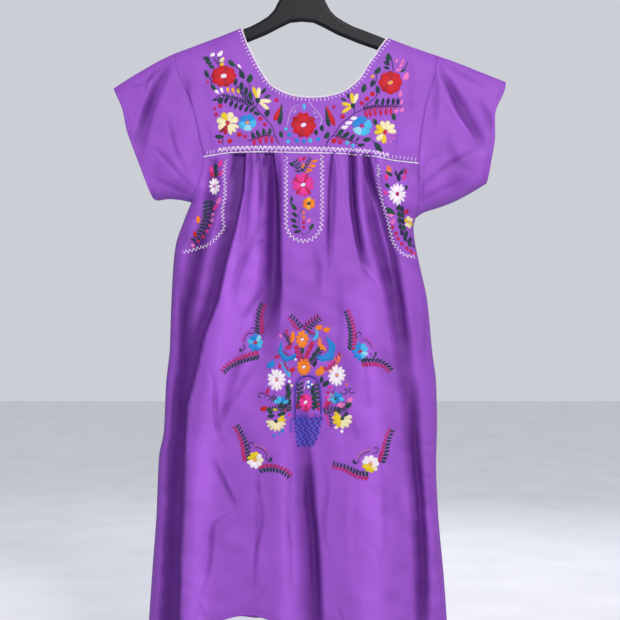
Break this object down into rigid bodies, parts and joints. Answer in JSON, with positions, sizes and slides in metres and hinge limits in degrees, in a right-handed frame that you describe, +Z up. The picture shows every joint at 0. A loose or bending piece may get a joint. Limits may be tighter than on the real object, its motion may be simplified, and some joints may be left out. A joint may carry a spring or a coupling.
{
  "type": "embroidered dress on a hanger",
  "caption": "Knee-length dress with a square-bottomed yoke, scooped neck, pleated front and short wide sleeves, hanging on a plastic hanger.",
  "frame": {"origin": "the inside of the hook's crown, where a rail carries the hanger", "axes": "+Z up, the front of the dress faces -Y, +X to the right of someone who faces the front"},
  "size_m": [0.67, 0.1061, 1.1664],
  "materials": {
    "cloth": "smooth plain weave, faint sheen",
    "thread": "matte cotton thread",
    "plastic": "satin",
    "steel": "bright wire"
  },
  "bodies": {
    "root": {"front_yoke": "cloth", "back_yoke": "cloth", "front_skirt": "cloth", "back_skirt": "cloth", "sleeve_left": "cloth", "sleeve_right": "cloth", "neck_edging": "thread", "hanger_body": "plastic", "hanger_hook": "steel"}
  },
  "joints": []
}
